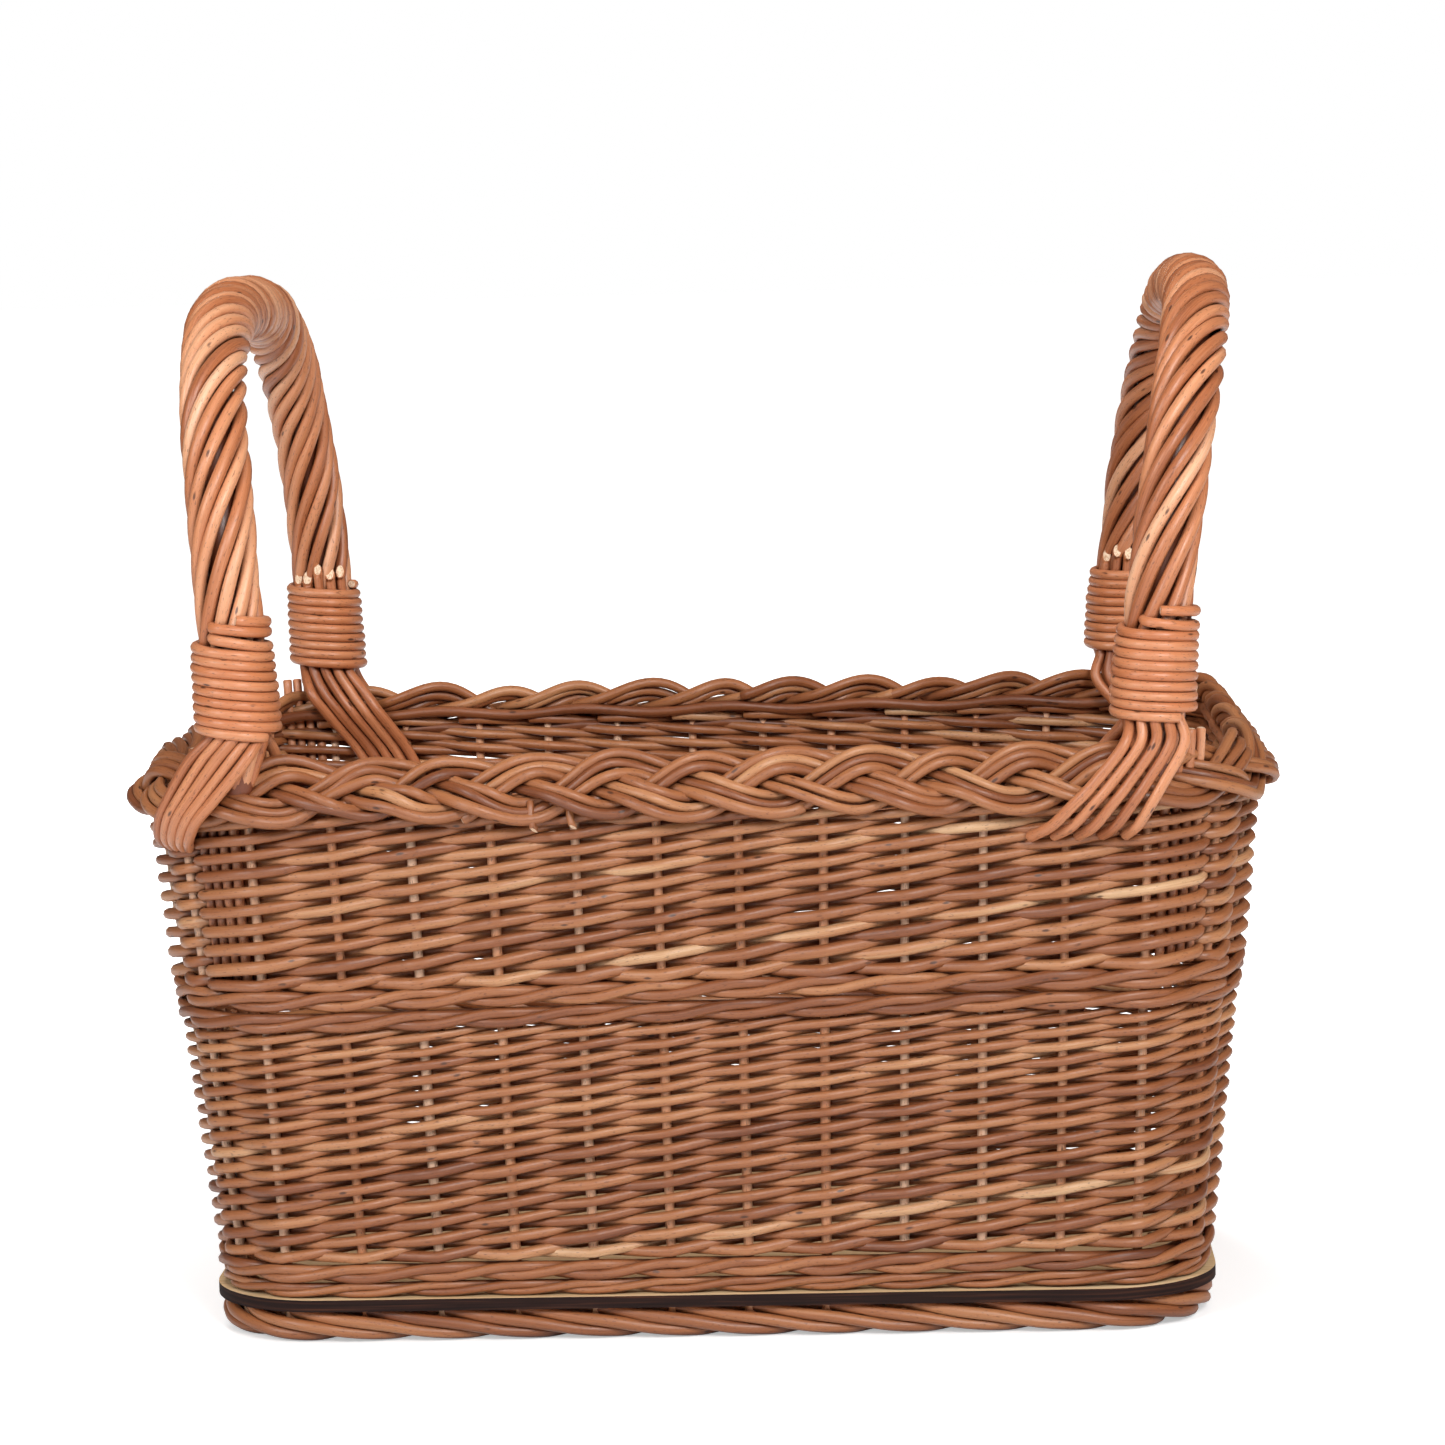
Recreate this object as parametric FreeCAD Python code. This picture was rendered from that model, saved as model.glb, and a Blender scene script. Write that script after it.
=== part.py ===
import FreeCAD, Part

import math
import os

# Wicker log basket on a plywood board, with a twisted handle over each short side.
# Millimetres. The origin is on the floor under the middle of the basket.
# +X runs along the length, +Y to the back, +Z up.

# --- base board ---
BOARD_LENGTH = 510.0
BOARD_WIDTH = 320.0
BOARD_CORNER_RADIUS = 60.0
BOARD_BOTTOM = 17.0
BOARD_THICKNESS = 6.0
STAKE_HOLE_RADIUS = 3.2
CUT_MARGIN = 1.0

LEFT, RIGHT = -1, 1
FRONT, BACK = -1, 1

# --- the stake line: a rounded rectangle that widens from the board to the rim ---
STAKE_LINE_LOW = {"z": 20.0, "half_length": 245.0, "half_width": 150.0, "radius": 50.0, "front_pitch": 38.7}
STAKE_LINE_HIGH = {"z": 262.0, "half_length": 272.0, "half_width": 177.0, "radius": 65.0, "front_pitch": 40.3}
STAKES_PER_HALF_FRONT = 6
STAKES_CORNER_TO_SIDE_CENTRE = 5
STAKE_RADIUS_LOW = 2.7
STAKE_RADIUS_HIGH = 2.3
STAKE_BOTTOM = 4.0
STAKE_TOP = 295.0
CHANNEL_CLEARANCE = 0.15

# --- woven bands, from the floor up: heights, and how far each lies inside and outside the stake line ---
BAND_GAP = 0.2
FOOT_TOP = BOARD_BOTTOM - BAND_GAP
WALE_OFFSET = 7.5
WEAVE_OFFSET = 6.7
BASE_WALE_BOTTOM = BOARD_BOTTOM + BOARD_THICKNESS + BAND_GAP
WALE_ROW_HEIGHT = 10.8
LOWER_WEAVE_BOTTOM = BASE_WALE_BOTTOM + 2 * WALE_ROW_HEIGHT
LOWER_WEAVE_HEIGHT = 119.4
MIDDLE_WALE_BOTTOM = LOWER_WEAVE_BOTTOM + LOWER_WEAVE_HEIGHT
UPPER_WEAVE_BOTTOM = MIDDLE_WALE_BOTTOM + 2 * WALE_ROW_HEIGHT
RIM_BOTTOM = 262.0
RIM_TOP = 303.0

# Sections as (offset from the stake line, height) points, listed upward.
FOOT_OUTER = [(5.0, 0.0), (9.0, 4.0), (9.0, 13.0), (6.0, FOOT_TOP)]
FOOT_INNER = [(-5.0, 0.0), (-9.0, 4.0), (-9.0, 13.0), (-6.0, FOOT_TOP)]
RIM_OUTER = [(8.0, RIM_BOTTOM), (19.5, 268.0), (19.5, 281.0), (12.0, 296.0), (2.0, RIM_TOP)]
RIM_INNER = [(-7.0, RIM_BOTTOM), (-7.0, 281.0), (-14.0, 287.0), (-13.5, 298.0), (-9.0, RIM_TOP)]

# --- handles ---
LEG_ARC_LENGTH = 224.0
HANDLE_BOTTOM = RIM_TOP + 9.5
HANDLE_CENTRE_TOP = 516.0
# Each handle leans outward by hand, so the two differ.
HANDLE_LEAN = {LEFT: 16.0, RIGHT: 30.0}
HANDLE_LEAN_POWER = 1.5
HANDLE_SQUARENESS = 3.2
CORE_RADIUS = 9.4
ROD_RADIUS = 3.3
ROD_COUNT = 10
ROD_ORBIT = CORE_RADIUS + ROD_RADIUS + 0.3
ROD_TWIST_PITCH = 160.0
HANDLE_CURVE_POINTS = 26
ROD_CURVE_POINTS = 90
WRAP_BOTTOM = 311.0
WRAP_TURNS = 10
WRAP_ROD_RADIUS = 2.4
WRAP_PITCH = 5.0
WRAP_ORBIT = ROD_ORBIT + ROD_RADIUS + WRAP_ROD_RADIUS + 0.3

# --- rod ends that hold the handles in the wall ---
CORE_END_COUNT = 4
CORE_END_RADIUS_LOW = 2.3
CORE_END_RADIUS_HIGH = 2.6
CORE_END_BOTTOM = UPPER_WEAVE_BOTTOM + 4.0
CORE_END_FIRST_FRACTION = 0.20
CORE_END_STEP_FRACTION = 0.15
FAN_TOP = RIM_TOP + 4.0
FAN_ROD_COUNT = 5
FAN_ROD_RADIUS = 2.65
FAN_ROD_SPACING = 7.2
# Way down each face of the rim as (offset from the stake line, height, distance swept sideways).
FAN_OUTSIDE = [(18.3, 299.8, 5.0), (23.2, 281.0, 19.0), (23.0, 270.0, 28.0), (17.0, 259.5, 35.0)]
FAN_INSIDE = [(-17.5, 297.5, 3.0), (-17.5, 286.0, 10.0), (-13.0, 276.0, 16.0), (-10.5, 266.0, 21.0)]


def stake_line(z):
    """Half length, half width and corner radius of the stake line at height z."""
    low, high = STAKE_LINE_LOW, STAKE_LINE_HIGH
    share = (z - low["z"]) / (high["z"] - low["z"])
    return [low[key] + share * (high[key] - low[key]) for key in ("half_length", "half_width", "radius")]


def quarter_perimeter(half_length, half_width, radius):
    return (half_length - radius) + math.pi / 2 * radius + (half_width - radius)


def perimeter_point(arc_length, z, offset=0.0):
    """Point on the outline this far outside the stake line, at an arc length from front centre towards +X."""
    half_length, half_width, radius = [size + offset for size in stake_line(z)]
    quarter = quarter_perimeter(half_length, half_width, radius)
    along = arc_length % (4 * quarter)
    x_sign = 1 if along <= 2 * quarter else -1
    if along > 2 * quarter:
        along = 4 * quarter - along
    y_sign = -1 if along <= quarter else 1
    if along > quarter:
        along = 2 * quarter - along
    straight = half_length - radius
    corner = math.pi / 2 * radius
    if along <= straight:
        x, y = along, half_width
    elif along <= straight + corner:
        angle = (along - straight) / radius
        x = straight + radius * math.sin(angle)
        y = half_width - radius + radius * math.cos(angle)
    else:
        x = half_length
        y = half_width - radius - (along - straight - corner)
    return FreeCAD.Vector(x_sign * x, y_sign * y, z)


def stake_arc_lengths(level):
    """Arc lengths of all the stakes at one end of the stake line, from front centre round to +X."""
    quarter = quarter_perimeter(level["half_length"], level["half_width"], level["radius"])
    front = [(i + 0.5) * level["front_pitch"] for i in range(STAKES_PER_HALF_FRONT)]
    side_pitch = (quarter - front[-1]) / STAKES_CORNER_TO_SIDE_CENTRE
    corner = [front[-1] + i * side_pitch for i in range(1, STAKES_CORNER_TO_SIDE_CENTRE)]
    first_quarter = front + corner
    right_half = first_quarter + [quarter] + [2 * quarter - s for s in reversed(first_quarter)]
    return right_half + [2 * quarter + s for s in right_half]


def rounded_rectangle(half_length, half_width, radius, z):
    """Closed wire of four lines and four arcs at height z."""
    corners = [(1, -1, -90), (1, 1, 0), (-1, 1, 90), (-1, -1, 180)]
    arcs = []
    for x_sign, y_sign, start in corners:
        centre = FreeCAD.Vector(x_sign * (half_length - radius), y_sign * (half_width - radius), z)
        arcs.append(Part.makeCircle(radius, centre, FreeCAD.Vector(0, 0, 1), start, start + 90))
    edges = []
    for i, arc in enumerate(arcs):
        following = arcs[(i + 1) % len(arcs)]
        edges.append(arc)
        edges.append(Part.makeLine(arc.Vertexes[-1].Point, following.Vertexes[0].Point))
    return Part.Wire(edges)


def stake_line_wire(offset, z):
    half_length, half_width, radius = stake_line(z)
    return rounded_rectangle(half_length + offset, half_width + offset, radius + offset, z)


def ring(outer_points, inner_points):
    """Closed ring round the basket between an outer and an inner chain of (offset, height) points."""
    outer = Part.makeLoft([stake_line_wire(offset, z) for offset, z in outer_points], True, True)
    inner = Part.makeLoft([stake_line_wire(offset, z) for offset, z in inner_points], True, True)
    return outer.cut(inner)


def band(bottom, height, offset):
    """Ring that reaches as far inside the stake line as outside it."""
    top = bottom + height - BAND_GAP
    return ring([(offset, bottom), (offset, top)], [(-offset, bottom), (-offset, top)])


def straight_rod(low_arc, high_arc, bottom, top, radius_bottom, radius_top):
    """Tapered rod that lies in the wall, given by its arc lengths at both ends of the stake line."""
    low = perimeter_point(low_arc, STAKE_LINE_LOW["z"])
    high = perimeter_point(high_arc, STAKE_LINE_HIGH["z"])
    slope = (high - low) * (1 / (high.z - low.z))
    start = low + slope * (bottom - low.z)
    length = slope.Length * (top - bottom)
    return Part.makeCone(radius_bottom, radius_top, length, start, slope)


def stake(low_arc, high_arc, extra_radius=0.0):
    return straight_rod(
        low_arc,
        high_arc,
        STAKE_BOTTOM - extra_radius,
        STAKE_TOP + extra_radius,
        STAKE_RADIUS_LOW + extra_radius,
        STAKE_RADIUS_HIGH + extra_radius,
    )


def stake_groups():
    """The stakes of each wall, as lists of (arc length low, arc length high)."""
    arcs = list(zip(stake_arc_lengths(STAKE_LINE_LOW), stake_arc_lengths(STAKE_LINE_HIGH)))
    front = STAKES_PER_HALF_FRONT
    side = 2 * STAKES_CORNER_TO_SIDE_CENTRE - 1
    right_end = front + side
    back_end = right_end + 2 * front
    left_end = back_end + side
    return {
        "front_stakes": arcs[left_end:] + arcs[:front],
        "right_stakes": arcs[front:right_end],
        "back_stakes": arcs[right_end:back_end],
        "left_stakes": arcs[back_end:left_end],
    }


def core_end_arcs(side, face):
    """Arc lengths of one handle leg's core ends, between the last front stake and the first corner stake."""
    arcs = []
    for level in (STAKE_LINE_LOW, STAKE_LINE_HIGH):
        stakes = stake_arc_lengths(level)
        last_front = stakes[STAKES_PER_HALF_FRONT - 1]
        first_corner = stakes[STAKES_PER_HALF_FRONT]
        quarter = quarter_perimeter(level["half_length"], level["half_width"], level["radius"])
        row = []
        for i in range(CORE_END_COUNT):
            fraction = CORE_END_FIRST_FRACTION + i * CORE_END_STEP_FRACTION
            distance = last_front + fraction * (first_corner - last_front)
            row.append(side * distance if face == FRONT else 2 * quarter - side * distance)
        arcs.append(row)
    return list(zip(*arcs))


def core_ends(side, face, extra_radius=0.0, extra_top=0.0):
    """Rods of a handle's core, pushed down into the wall beside a stake."""
    radius_low = CORE_END_RADIUS_LOW + extra_radius
    radius_high = CORE_END_RADIUS_HIGH + extra_radius
    bottom = CORE_END_BOTTOM - extra_radius
    top = RIM_TOP + extra_top
    arcs = core_end_arcs(side, face)
    return [straight_rod(low, high, bottom, top, radius_low, radius_high) for low, high in arcs]


def all_channels():
    """Room for the stakes and core ends, cut out of the woven bands."""
    channels = []
    for group in stake_groups().values():
        channels += [stake(low, high, CHANNEL_CLEARANCE) for low, high in group]
    for side in (LEFT, RIGHT):
        for face in (FRONT, BACK):
            channels += core_ends(side, face, CHANNEL_CLEARANCE, CUT_MARGIN)
    return channels


def base_board():
    """Plywood board with one hole per stake."""
    outline = rounded_rectangle(BOARD_LENGTH / 2, BOARD_WIDTH / 2, BOARD_CORNER_RADIUS, BOARD_BOTTOM)
    board = Part.Face(outline).extrude(FreeCAD.Vector(0, 0, BOARD_THICKNESS))
    holes = []
    for arc_length in stake_arc_lengths(STAKE_LINE_LOW):
        centre = perimeter_point(arc_length, STAKE_LINE_LOW["z"])
        centre.z = BOARD_BOTTOM - CUT_MARGIN
        holes.append(Part.makeCylinder(STAKE_HOLE_RADIUS, BOARD_THICKNESS + 2 * CUT_MARGIN, centre))
    return board.cut(holes)


def smooth_curve(points):
    curve = Part.BSplineCurve()
    curve.interpolate(points)
    return curve


def swept_rod(curve, radius):
    """Round rod along a curve."""
    direction = curve.tangent(curve.FirstParameter)[0]
    profile = Part.Wire(Part.makeCircle(radius, curve.value(curve.FirstParameter), direction))
    return Part.Wire(curve.toShape()).makePipeShell([profile], True, True)


def arch_point(share, side):
    """Point on a handle's centre line: share 0 is the front foot and 1 the back foot."""
    foot = perimeter_point(LEG_ARC_LENGTH, RIM_TOP)
    rise = HANDLE_CENTRE_TOP - HANDLE_BOTTOM
    power = 2 / HANDLE_SQUARENESS
    angle = math.pi * share
    cosine = math.cos(angle)
    y = foot.y * math.copysign(abs(cosine) ** power, cosine)
    height = rise * abs(math.sin(angle)) ** power
    x = side * (foot.x + HANDLE_LEAN[side] * (height / rise) ** HANDLE_LEAN_POWER)
    return FreeCAD.Vector(x, y, HANDLE_BOTTOM + height)


def arch_curve(side):
    """Handle centre line as one smooth curve with its points evenly spread."""
    rough_steps = 400
    rough = [arch_point(i / rough_steps, side) for i in range(rough_steps + 1)]
    even = Part.makePolygon(rough).discretize(HANDLE_CURVE_POINTS)
    return smooth_curve(even)


def handle_core(side):
    """Smooth arch that the twisted rods are laid round."""
    return swept_rod(arch_curve(side), CORE_RADIUS)


def handle_rods(side):
    """Right-handed twist of rods round the core."""
    curve = arch_curve(side)
    edge = curve.toShape()
    stations = edge.discretize(ROD_CURVE_POINTS)
    spacing = edge.Length / (len(stations) - 1)
    outward = FreeCAD.Vector(side, 0, 0)
    rods = []
    for index in range(ROD_COUNT):
        points = []
        for number, station in enumerate(stations):
            tangent = curve.tangent(curve.parameter(station))[0]
            across = outward - tangent * outward.dot(tangent)
            across.normalize()
            third = tangent.cross(across)
            angle = 2 * math.pi * (index / ROD_COUNT + number * spacing / ROD_TWIST_PITCH)
            points.append(station + (across * math.cos(angle) + third * math.sin(angle)) * ROD_ORBIT)
        rods.append(swept_rod(smooth_curve(points), ROD_RADIUS))
    return rods


def leg_frame(side, face, z):
    """Centre of a handle leg at height z, and the leg's upward direction."""
    curve = arch_curve(side)
    low_share, high_share = (0.0, 0.5) if face == FRONT else (1.0, 0.5)
    for _ in range(40):
        middle = (low_share + high_share) / 2
        if arch_point(middle, side).z < z:
            low_share = middle
        else:
            high_share = middle
    centre = arch_point(low_share, side)
    direction = curve.tangent(curve.parameter(centre))[0]
    return centre, direction if direction.z > 0 else direction * -1


def wrap(side, face):
    """One rod wound tightly round the foot of a handle leg."""
    height = WRAP_TURNS * WRAP_PITCH
    centre, direction = leg_frame(side, face, WRAP_BOTTOM + height / 2)
    start = centre - direction * (height / 2)
    helix = Part.makeHelix(WRAP_PITCH, height, WRAP_ORBIT)
    profile = Part.Wire(
        Part.makeCircle(WRAP_ROD_RADIUS, FreeCAD.Vector(WRAP_ORBIT, 0, 0), FreeCAD.Vector(0, 1, 0))
    )
    rod = Part.Wire(helix).makePipeShell([profile], True, True)
    rod.Placement = FreeCAD.Placement(start, FreeCAD.Rotation(FreeCAD.Vector(0, 0, 1), direction))
    return rod


def point_beside_leg(side, face, distance, offset, z):
    """Point at a distance round the basket from a handle leg, measured at this offset from the stake line."""
    half_length, half_width, radius = stake_line(z)
    straight = half_length - radius
    leg_arc = straight + (LEG_ARC_LENGTH - straight) * (radius + offset) / radius
    if face == FRONT:
        return perimeter_point(side * leg_arc + distance, z, offset)
    half_perimeter = 2 * quarter_perimeter(half_length + offset, half_width + offset, radius + offset)
    return perimeter_point(half_perimeter - side * leg_arc + distance, z, offset)


def fan(side, face):
    """Handle rods that leave the wrap, slant over both faces of the rim and tuck in under it."""
    rods = []
    for way, sign in ((FAN_OUTSIDE, 1), (FAN_INSIDE, -1)):
        for i in range(FAN_ROD_COUNT):
            angle = math.pi * (i + 0.5) / FAN_ROD_COUNT
            across, outward = -ROD_ORBIT * math.cos(angle), sign * ROD_ORBIT * math.sin(angle)
            points = [point_beside_leg(side, face, across, outward, FAN_TOP)]
            place = (i - (FAN_ROD_COUNT - 1) / 2) * FAN_ROD_SPACING
            for offset, z, swept in way:
                points.append(point_beside_leg(side, face, place - swept, offset, z))
            rods.append(swept_rod(smooth_curve(points), FAN_ROD_RADIUS))
    return rods


def export(name, shapes):
    """Write one sub-part, a single solid or a group of separate solids."""
    shape = shapes if isinstance(shapes, Part.Shape) else Part.makeCompound(shapes)
    shape.exportStep("parts/" + name + ".step")


def build_walls():
    channels = all_channels()
    bands = {
        "foot_border": ring(FOOT_OUTER, FOOT_INNER),
        "base_wale_lower": band(BASE_WALE_BOTTOM, WALE_ROW_HEIGHT, WALE_OFFSET),
        "base_wale_upper": band(BASE_WALE_BOTTOM + WALE_ROW_HEIGHT, WALE_ROW_HEIGHT, WALE_OFFSET),
        "lower_weave": band(LOWER_WEAVE_BOTTOM, LOWER_WEAVE_HEIGHT, WEAVE_OFFSET),
        "middle_wale_lower": band(MIDDLE_WALE_BOTTOM, WALE_ROW_HEIGHT, WALE_OFFSET),
        "middle_wale_upper": band(MIDDLE_WALE_BOTTOM + WALE_ROW_HEIGHT, WALE_ROW_HEIGHT, WALE_OFFSET),
        "upper_weave": band(UPPER_WEAVE_BOTTOM, RIM_BOTTOM - UPPER_WEAVE_BOTTOM, WEAVE_OFFSET),
        "rim_border": ring(RIM_OUTER, RIM_INNER),
    }
    for name, shape in bands.items():
        export(name, shape.cut(channels))
    for name, group in stake_groups().items():
        export(name, [stake(low, high) for low, high in group])


def build_handles():
    for side_name, side in (("left", LEFT), ("right", RIGHT)):
        export(side_name + "_handle_core", handle_core(side))
        export(side_name + "_handle_rods", handle_rods(side))
        for face_name, face in (("front", FRONT), ("back", BACK)):
            corner = face_name + "_" + side_name
            export(corner + "_wrap", wrap(side, face))
            export(corner + "_fan", fan(side, face))
            export(corner + "_core_ends", core_ends(side, face))


os.makedirs("parts", exist_ok=True)
export("base_board", base_board())
build_walls()
build_handles()
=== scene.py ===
import math

import bpy
import numpy as np
from mathutils import Matrix, Vector


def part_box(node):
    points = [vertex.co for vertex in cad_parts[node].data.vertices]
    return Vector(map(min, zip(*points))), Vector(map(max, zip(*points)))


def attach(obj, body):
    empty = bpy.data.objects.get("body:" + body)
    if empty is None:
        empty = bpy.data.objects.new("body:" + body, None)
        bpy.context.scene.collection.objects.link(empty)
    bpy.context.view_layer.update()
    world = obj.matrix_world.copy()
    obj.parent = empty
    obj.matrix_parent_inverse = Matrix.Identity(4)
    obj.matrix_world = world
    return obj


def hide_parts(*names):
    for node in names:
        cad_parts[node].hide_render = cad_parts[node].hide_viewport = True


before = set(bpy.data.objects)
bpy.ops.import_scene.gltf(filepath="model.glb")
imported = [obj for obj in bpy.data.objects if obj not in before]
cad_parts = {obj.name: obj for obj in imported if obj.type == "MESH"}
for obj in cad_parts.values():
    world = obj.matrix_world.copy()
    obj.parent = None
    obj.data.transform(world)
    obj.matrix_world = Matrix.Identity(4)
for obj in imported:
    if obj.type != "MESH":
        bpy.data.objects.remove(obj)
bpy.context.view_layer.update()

# Wicker log basket: every woven band is built from its own willow rods, in place of the CAD frame's bands.
# Metres, in the frame's own axes: X along the length, Y to the back, Z up.
# A place on the wall is given by q (stakes counted round from the front centre, with fractions between
# stakes), a height z and a distance outward from the stake line.

rng = np.random.default_rng(11)

# --- sizes read from the frame ---
BOARD_LOW, BOARD_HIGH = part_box("base_board")
LOWER_LOW, LOWER_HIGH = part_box("lower_weave")
UPPER_LOW, UPPER_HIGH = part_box("upper_weave")
RIM_LOW, RIM_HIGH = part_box("rim_border")
WRAP_LOW, WRAP_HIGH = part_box("front_left_wrap")
BASE_Z = (BOARD_LOW.z + BOARD_HIGH.z) / 2
RIM_Z = RIM_LOW.z

# --- the stake line, as in the frame: the rounded rectangle that the stakes stand on ---
WEAVE_HALF_THICKNESS = 0.0067
CORNER_RADIUS_LOW = 0.050
CORNER_RADIUS_HIGH = 0.065
FRONT_PITCH_LOW = 0.0387
FRONT_PITCH_HIGH = 0.0403
HALF_FRONT_STAKES = 6
CORNER_STEPS = 5
STAKES = 4 * (HALF_FRONT_STAKES + CORNER_STEPS) - 2
STAKE_RADIUS_LOW = 0.0027
STAKE_RADIUS_HIGH = 0.0023
STAKE_RADIUS = (STAKE_RADIUS_LOW + STAKE_RADIUS_HIGH) / 2

# --- handles ---
CORE_RADIUS = 0.0094
CORE_THINNING = 0.9
# Painted shade: the core shows only between the twisted rods, so its tone is below the darkest colour.
CORE_TONE = -0.3
HANDLE_ROD_RADIUS = 0.0034
HANDLE_RODS = 10
HANDLE_ORBIT_FOOT = 0.0130
HANDLE_ORBIT_CROWN = 0.0138
# The arch is part of a superellipse with this exponent, where 2 would be an ellipse.
HANDLE_SQUARENESS = 3.2
# It leans outward with this power of its height.
HANDLE_LEAN_POWER = 1.5
LEG_X = -(WRAP_LOW.x + WRAP_HIGH.x) / 2
WRAP_BOTTOM = WRAP_LOW.z + 0.0005
WRAP_ROD_RADIUS = 0.00265
WRAP_PITCH = 0.0049
WRAP_TURNS = 9
WRAP_TONE = 0.6
WRAP_TOP = WRAP_BOTTOM + WRAP_PITCH * WRAP_TURNS

LEFT, RIGHT = -1, 1
FRONT, BACK = -1, 1
CORNERS = {
    "front_left": (LEFT, FRONT),
    "front_right": (RIGHT, FRONT),
    "back_left": (LEFT, BACK),
    "back_right": (RIGHT, BACK),
}


# ---------------------------------------------------------------- the wall's shape

def stake_line(z):
    """Half length, half width and corner radius of the stake line at height z."""
    rise = UPPER_HIGH.z - LOWER_HIGH.z
    along = (z - LOWER_HIGH.z) / rise
    half_length = LOWER_HIGH.x + along * (UPPER_HIGH.x - LOWER_HIGH.x) - WEAVE_HALF_THICKNESS
    half_width = LOWER_HIGH.y + along * (UPPER_HIGH.y - LOWER_HIGH.y) - WEAVE_HALF_THICKNESS
    share = (z - BASE_Z) / (RIM_Z - BASE_Z)
    radius = CORNER_RADIUS_LOW + share * (CORNER_RADIUS_HIGH - CORNER_RADIUS_LOW)
    return half_length, half_width, radius


def quarter_length(half_length, half_width, radius):
    return half_length + half_width + (math.pi / 2 - 2) * radius


def outline(arc, half_length, half_width, radius):
    """Points and outward normals of a rounded rectangle at arc lengths counted from the front centre."""
    quarter = quarter_length(half_length, half_width, radius)
    arc = np.mod(arc, 4 * quarter)
    x_sign = np.where(arc <= 2 * quarter, 1.0, -1.0)
    arc = np.where(arc <= 2 * quarter, arc, 4 * quarter - arc)
    y_sign = np.where(arc <= quarter, -1.0, 1.0)
    arc = np.where(arc <= quarter, arc, 2 * quarter - arc)
    straight = half_length - radius
    angle = np.clip((arc - straight) / radius, 0, math.pi / 2)
    down_side = np.clip(arc - straight - math.pi / 2 * radius, 0, None)
    x = np.minimum(arc, straight) + radius * np.sin(angle)
    y = half_width - radius + radius * np.cos(angle) - down_side
    point = np.stack([x_sign * x, y_sign * y], -1)
    normal = np.stack([x_sign * np.sin(angle), y_sign * np.cos(angle)], -1)
    return point, normal


def stake_arcs(z, front_pitch):
    """Arc lengths of the stakes at height z."""
    quarter = quarter_length(*stake_line(z))
    front = front_pitch * (np.arange(HALF_FRONT_STAKES) + 0.5)
    corner = np.linspace(front[-1], quarter, CORNER_STEPS + 1)[1:-1]
    first_quarter = np.concatenate([front, corner])
    half = np.concatenate([first_quarter, [quarter], 2 * quarter - first_quarter[::-1]])
    return np.concatenate([half, half + 2 * quarter])


def repeat_round(arcs, z):
    """The same arcs for one turn before and two turns after, so that rods can run on past the start."""
    perimeter = 4 * quarter_length(*stake_line(z))
    return np.concatenate([arcs + turn * perimeter for turn in (-1, 0, 1, 2)])


# Standard deviation of the stakes' places along the rim, and the most that settling moves the weave.
STAKE_SPREAD = 0.0011
SETTLE = 0.0030

LOW_ARCS = stake_arcs(BASE_Z, FRONT_PITCH_LOW)
HIGH_ARCS = stake_arcs(RIM_Z, FRONT_PITCH_HIGH) + rng.normal(0, STAKE_SPREAD, STAKES)
ROUND_LOW = repeat_round(LOW_ARCS, BASE_Z)
ROUND_HIGH = repeat_round(HIGH_ARCS, RIM_Z)
ROUND_Q = np.arange(len(ROUND_LOW)) - STAKES


def wall_arc(q, z):
    """Arc length at height z of a place counted in stakes."""
    share = (z - BASE_Z) / (RIM_Z - BASE_Z)
    return np.interp(q, ROUND_Q, ROUND_LOW) * (1 - share) + np.interp(q, ROUND_Q, ROUND_HIGH) * share


def settled(q, z):
    """Height after the weave has settled a little unevenly, most of all in the middle of the wall."""
    share = np.clip((z - BASE_Z) / (RIM_Z - BASE_Z), 0, 1)
    turn = 2 * math.pi * q / STAKES
    wave = np.sin(turn - 0.35) + 0.35 * np.sin(3 * turn + 1.0)
    return z + SETTLE * wave * np.sin(math.pi * share)


def wall_point(q, z, outward):
    """Points on the wall, as an array of x, y, z."""
    q, z, outward = np.broadcast_arrays(q, z, outward)
    point, normal = outline(wall_arc(q, z), *stake_line(z))
    flat = point + outward[:, None] * normal
    return np.column_stack([flat, settled(q, z)])


def beside_leg(side, face, distance, outward, z):
    """Points at a distance round the basket from a handle leg, measured on the outline this far outward."""
    half_length, half_width, radius = stake_line(z)
    straight = half_length - radius
    leg_angle = np.arcsin((LEG_X - straight) / radius)
    leg = straight + leg_angle * (radius + outward)
    sizes = half_length + outward, half_width + outward, radius + outward
    if face == FRONT:
        arc = side * leg + distance
    else:
        arc = 2 * quarter_length(*sizes) - side * leg + distance
    point, _ = outline(arc, *sizes)
    return np.column_stack([point, z])


# ---------------------------------------------------------------- willow rods

def waver(count, length, amplitude, wavelength):
    """Smooth random values along a rod of this length."""
    along = np.linspace(0, length, count)
    value = np.zeros(count)
    for octave in (1.0, 1.9, 3.1):
        phase = rng.uniform(0, 2 * math.pi)
        value += np.sin(2 * math.pi * along * octave / wavelength + phase) / octave
    return amplitude * value


def smooth_path(points, count):
    """Catmull-Rom curve through a few points, sampled evenly in its parameter."""
    points = np.asarray(points, float)
    padded = np.vstack([2 * points[0] - points[1], points, 2 * points[-1] - points[-2]])
    place = np.linspace(0, len(points) - 1 - 1e-9, count)
    index = place.astype(int)
    t = (place - index)[:, None]
    a, b, c, d = (padded[index + shift] for shift in range(4))
    curve = 2 * b + (c - a) * t
    curve = curve + (2 * a - 5 * b + 4 * c - d) * t ** 2
    curve = curve + (3 * b - a - 3 * c + d) * t ** 3
    return curve / 2


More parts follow.
